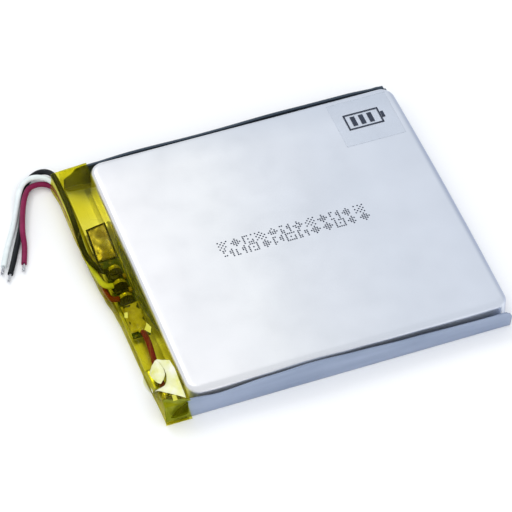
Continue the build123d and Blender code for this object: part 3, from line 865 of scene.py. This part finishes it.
def add_painted_glare_and_glints():
    """Near the corner, pale patches shaped as a lifted flap, a blister beside it and a fin: painted
    glare; small bright patches elsewhere: painted glints.
    """
    glare_flap = strip_over_film(GLARE_FLAP_LEFT, GLARE_FLAP_RIGHT, 0.10, 0.12)
    lens = strip_over_film(GLARE_LENS_LEFT, GLARE_LENS_RIGHT, 0.10, 0.40)
    # painted glints: small bright patches where the film catches the light
    glint = strip_over_film([(-33.5, -5.9), (-33.8, -6.9)], [(-32.9, -6.1), (-33.3, -7.4)],
                            0.06, 0.08)
    fold = strip_over_film([(-30.7, -10.4), (-31.0, -11.0), (-31.5, -11.5), (-30.72, -13.0)],
                           [(-30.66, -10.45), (-30.4, -11.2), (-30.2, -11.8), (-30.68, -12.95)],
                           0.07, 0.20)
    ridge_glint = strip_over_film([(-31.95, -28.2), (-32.05, -28.9), (-32.15, -29.8)],
                            [(-31.2, -28.3), (-31.25, -29.0), (-31.3, -29.8)], 0.06, 0.25)
    glare_fin = thin_sheet(6, 20, lambda t, u: Vector((-34.1 - 0.62 * math.sin(math.pi * u) ** 0.7 * t,
                                                 -22.8 + 4.2 * u, 0.14 + 0.10 * t)), FILM)
    link_sheets("film_painted_glare", [glare_flap, lens, glare_fin], GLARE_FILM)
    link_sheets("film_painted_glints", [glint, fold, ridge_glint], GLINT_FILM)


add_tape()
add_painted_glare_and_glints()


def lumpy_sheet(corners, rows, columns, height):
    """A thin closed sheet between four (x, y) corners, near pair first; height(u, v) in mm."""
    (ax, ay), (bx, by), (cx, cy), (dx, dy) = corners

    def place(v, u):
        return Vector(((ax * (1 - u) + bx * u) * (1 - v) + (dx * (1 - u) + cx * u) * v,
                       (ay * (1 - u) + by * u) * (1 - v) + (dy * (1 - u) + cy * u) * v,
                       height(u, v)))

    return thin_sheet(rows, columns, place, 0.05 * MM)


def add_strip():
    """The strip welded to the negative tab, with a dark rim round it."""
    top = BOARD_TOP + 0.06

    def rim(u, v):
        return top + 0.05 * noise.noise(Vector((u * 3, v * 5, 1)))

    def face(u, v):
        swell = math.sin(math.pi * u) * math.sin(math.pi * min(1, v * 1.4))
        return top + 0.10 + 0.25 * swell * (1 - v) + 0.10 * noise.noise(Vector((u * 4, v * 6, 2)))

    edge = lumpy_sheet([(-34.0, 8.9), (-29.7, 8.9), (-29.4, 18.3), (-33.5, 17.6)], 12, 8, rim)
    link_sheets("strip_dark_rim", [edge], NEAR_BLACK)
    strip = lumpy_sheet([(-33.7, 9.2), (-30.0, 9.2), (-29.75, 17.9), (-33.2, 17.25)], 26, 16, face)
    link_sheets("negative_strip", [strip], LAND, ["negative_pad_strip"])


def add_joints():
    """The three leads' solder joints: bright mounds whose near sides are dark with painted shade.
    """
    bright, dark = [], []
    dark_share = 0.47  # how much of a mound is dark with painted shade, from its near side
    for y in (-1.5, 2.0, 5.6):
        def mound(u, v, y=y):
            across = math.sin(math.pi * min(1, max(0, u))) ** 0.55
            rise = smooth_step(v, 0.0, 0.60) * (1 - smooth_step(v, 0.72, 1.0))
            lump = 0.10 * noise.noise(Vector((u * 3, v * 3, y)))
            return BOARD_TOP + 0.03 + (1.55 + lump) * rise * across

        near, middle, far = y - 1.4, y - 0.05, y + 1.45
        dark.append(lumpy_sheet([(-33.2, near), (-30.2, near), (-30.1, middle), (-33.25, middle)],
                                10, 14, lambda u, v: mound(u, v * dark_share)))
        bright.append(lumpy_sheet([(-33.25, middle), (-30.1, middle), (-30.3, far), (-33.1, far)],
                                  10, 14,
                                  lambda u, v: mound(u, dark_share + v * (1 - dark_share))))
    link_sheets("lead_joint_solder", bright, BRIGHT_SOLDER, ["lead_solder_joints"])
    link_sheets("lead_joint_painted_shade", dark, NEAR_BLACK)


def add_cover():
    """A soft pad pressed over the two packages, its edges drooping."""
    def height(u, v):
        droop = 0.55 * min(1, (2 * abs(u - 0.5)) ** 4 + (2 * abs(v - 0.5)) ** 6)
        return CARD_TOP - 0.02 - droop + 0.32 * noise.noise(Vector((u * 3, v * 6, 4)))

    pad = lumpy_sheet([(-33.5, -9.9), (-29.9, -9.7), (-29.8, -3.0), (-33.4, -3.2)], 26, 18, height)
    link_sheets("component_cover", [pad], CARD, ["insulating_card"])


def add_tab():
    """The positive tab, folded back round the terrace's edge onto the board."""
    path = [(-33.0, 0.48), (-33.55, 0.48), (-33.88, 0.66), (-33.98, 1.05), (-33.85, 1.45),
            (-33.45, 1.66), (-32.0, 1.70), (-30.4, 1.70)]
    columns = 12
    points = [Vector((x, -23.6 + 4.8 * c / (columns - 1), z)) * MM
              for x, z in path for c in range(columns)]
    tab = thickened(len(path), columns, points, 0.1 * MM)
    link_sheets("folded_tab", [tab], TAB, ["positive_tab"])


add_tab()
add_strip()
add_joints()
add_cover()


# ---- Materials of the CAD pieces that stay ------------------------------------------
CAD_FINISH = {
    "circuit_board": board_material(),
    "jumper_solder_joints": BRIGHT_SOLDER,
    "jumper_red": JUMPER,
    "negative_tab": metal_material("nickel_strip", (0.42, 0.40, 0.36), (0.60, 0.58, 0.53),
                                   0.3, 0.5, (300, 2500, 300)),
    "terrace_foam_strip": plastic_material("foam", (0.78, 0.76, 0.70), (0.90, 0.88, 0.82),
                                           0.8, 0.95),
    "protection_ic": plastic_material("chip_epoxy", (0.012, 0.012, 0.013), (0.03, 0.03, 0.032),
                                      0.45, 0.6),
    "chip_resistors": plastic_material("resistor_glaze", (0.015, 0.015, 0.018), (0.05, 0.05, 0.055),
                                       0.25, 0.4),
    "chip_capacitors": plastic_material("capacitor_body", (0.35, 0.24, 0.14), (0.50, 0.36, 0.24),
                                        0.4, 0.6),
    "anode_plates": plastic_material("graphite", (0.02, 0.02, 0.022), (0.045, 0.045, 0.05),
                                     0.6, 0.8),
    "cathode_plates": plastic_material("cathode_coating", (0.015, 0.015, 0.017),
                                       (0.035, 0.035, 0.04), 0.5, 0.7),
    "separator_z_fold": plastic_material("separator_film", (0.80, 0.80, 0.79), (0.90, 0.90, 0.89),
                                         0.4, 0.55),
    "stack_tape_straps": plastic_material("strap_film", (0.08, 0.30, 0.12), (0.14, 0.42, 0.18),
                                          0.25, 0.4),
    "positive_foil_bundle": metal_material("aluminium_foil", (0.72, 0.73, 0.74), (0.86, 0.87, 0.88),
                                           0.2, 0.35, (400, 400, 4000), 0.5),
    "negative_foil_bundle": metal_material("copper_foil", (0.60, 0.28, 0.16), (0.80, 0.42, 0.27),
                                           0.2, 0.35, (400, 400, 4000), 0.5),
    "positive_tab_seal_films": plastic_material("seal_film", (0.75, 0.75, 0.72), (0.88, 0.88, 0.85),
                                                0.3, 0.5),
}
CAD_FINISH["positive_pad_strip"] = CAD_FINISH["negative_tab"]
CAD_FINISH["dual_mosfet"] = CAD_FINISH["protection_ic"]
CAD_FINISH["thermistor"] = CAD_FINISH["chip_resistors"]
CAD_FINISH["negative_tab_seal_films"] = CAD_FINISH["positive_tab_seal_films"]
for node, finish in CAD_FINISH.items():
    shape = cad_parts[node].data
    for index in range(len(shape.materials)):
        shape.materials[index] = finish
    if not shape.materials:
        shape.materials.append(finish)


# ---- Label and print ----------------------------------------------------------------
def top_surface(x, y, lift):
    """A point just above the cup's top, following its crown, dents and rounded edge."""
    z = CUP_TOP
    over = abs(y - FAR_SHIFT * smooth_step(y, CUP_HALF - 8 * MM, CUP_HALF)) - (
        CUP_HALF - WALL_INSET - EDGE_RADIUS)
    if over > 0:
        z -= EDGE_RADIUS - math.sqrt(max(0.0, EDGE_RADIUS ** 2 - over ** 2))
    return Vector((x, y, z + top_height(x, y) + lift))


def label_mesh():
    columns = rows = 26
    points = []
    for lift in (0.06 * MM, 0.02 * MM):
        for r in range(rows):
            for c in range(columns):
                x = label_low.x + (label_high.x - label_low.x) * c / (columns - 1)
                y = label_low.y + (label_high.y - label_low.y) * r / (rows - 1)
                points.append(top_surface(x, y, lift))
    return mesh_from("label_film", points, sheet_faces(rows, columns))


link("label_film", label_mesh(), LABEL, ["clear_label"])

INK_HEIGHT = 0.012 * MM


def dot(points, faces, x, y, radius):
    """One small printed dot: a low disc on the cup's top."""
    base, sides = len(points), 10
    for height in (0.0, INK_HEIGHT):
        for k in range(sides):
            a = k * math.tau / sides
            points.append(top_surface(x + radius * math.cos(a), y + radius * math.sin(a),
                                      height + 0.004 * MM))
    faces.append(tuple(base + sides + k for k in range(sides)))
    for k in range(sides):
        n = (k + 1) % sides
        faces.append((base + k, base + n, base + sides + n, base + sides + k))


# Five by five dot patterns, row by row, that are no characters.
PRINT_CELLS = ("0010001110111110111000100", "1111110001101011000111111",
               "1010101010101010101010101", "1100111001100111001111001")


def print_mesh():
    """Two rows of small dot-matrix ornaments, which say nothing."""
    draw = random.Random(5)
    points, faces = [], []
    pitch, cell_pitch, radius = 0.42 * MM, 2.5 * MM, 0.17 * MM
    for row_y, start_x in ((0.45 * MM, -12.3 * MM), (-1.75 * MM, -11.9 * MM)):
        for cell in range(12):
            for index, mark in enumerate(draw.choice(PRINT_CELLS)):
                if mark == "1" and draw.random() < 0.93:
                    line, column = divmod(index, 5)
                    dot(points, faces, start_x + cell * cell_pitch + column * pitch,
                        row_y + line * pitch, radius)
    return mesh_from("print_dots", points, faces, smooth=False)


link("print_dots", print_mesh(), INK)


def bar(points, faces, centre, length, width, angle):
    """A low printed bar on the label, following the cup's top."""
    base, steps = len(points), 10
    turn = Matrix.Rotation(angle, 2)
    for height in (0.0, INK_HEIGHT):
        for k in range(steps + 1):
            for side in (-1, 1):
                place = turn @ Vector((length * (k / steps - 0.5), side * width / 2))
                points.append(top_surface(centre[0] + place.x, centre[1] + place.y,
                                          0.066 * MM + height))
    row = 2 * (steps + 1)
    for k in range(steps):
        a, b = base + 2 * k, base + 2 * k + 2
        faces.append((a + row, b + row, b + row + 1, a + row + 1))
        faces.append((a, a + row, b + row, b)[::-1])
        faces.append((a + 1, b + 1, b + row + 1, a + row + 1)[::-1])
    for end in (base, base + 2 * steps):
        face = (end, end + 1, end + row + 1, end + row)
        faces.append(face if end == base else face[::-1])


def pictogram_mesh():
    """A plain battery outline with charge bars."""
    points, faces = [], []
    cx, cy = 25.6 * MM, 22.9 * MM
    half_long, half_high, line = 3.5 * MM, 1.9 * MM, 0.34 * MM
    for side in (1, -1):
        bar(points, faces, (cx, cy + side * half_high), 2 * half_long + line, line, 0)
        bar(points, faces, (cx + side * half_long, cy), 2 * half_high, line, math.pi / 2)
    bar(points, faces, (cx + half_long + 0.55 * MM, cy), 1.6 * MM, 0.6 * MM, math.pi / 2)
    for k in range(3):
        bar(points, faces, (cx - 2.0 * MM + k * 1.75 * MM, cy), 2.5 * MM, 0.95 * MM, math.pi / 2)
    return mesh_from("label_pictogram", points, faces, smooth=False)


link("label_pictogram", pictogram_mesh(), INK)


# ---- Floor and light ----------------------------------------------------------------
def add_stage():
    m = Shader("floor")
    m.set(Roughness=0.9)
    m.colour(m.ramp(m.noise(3, detail=2), (0.3, (0.93, 0.93, 0.93)), (0.7, (0.95, 0.95, 0.95))))
    mesh = bpy.data.meshes.new("floor")
    shape = bmesh.new()
    bmesh.ops.create_grid(shape, x_segments=8, y_segments=8, size=3.0)
    shape.to_mesh(mesh)
    shape.free()
    floor = bpy.data.objects.new("floor", mesh)
    floor.location.z = -0.02 * MM  # just clear of the cell's underside
    mesh.materials.append(m.material)
    bpy.context.collection.objects.link(floor)


def add_area(name, place, size, power, glossy=True):
    """A square lamp that faces the cell; glossy says whether reflections show it."""
    lamp = bpy.data.lights.new(name, "AREA")
    lamp.shape = "RECTANGLE"
    lamp.size = lamp.size_y = size
    lamp.energy = power
    holder = bpy.data.objects.new(name, lamp)
    holder.location = place
    holder.visible_glossy = glossy
    holder.rotation_euler = (-Vector(place)).to_track_quat("-Z", "Y").to_euler()
    bpy.context.collection.objects.link(holder)


def add_lights():
    world = bpy.data.worlds.new("studio")
    bpy.context.scene.world = world
    world.use_nodes = True
    back = world.node_tree.nodes["Background"]
    back.inputs["Color"].default_value = (0.90, 0.93, 0.98, 1)
    back.inputs["Strength"].default_value = 0.84
    add_area("key", (-0.16, 0.46, 0.64), 0.32, 1.1)
    add_area("fill", (-0.10, -0.55, 0.85), 1.3, 4.8, glossy=False)


add_stage()
add_lights()
bpy.context.scene.view_settings.view_transform = "Standard"
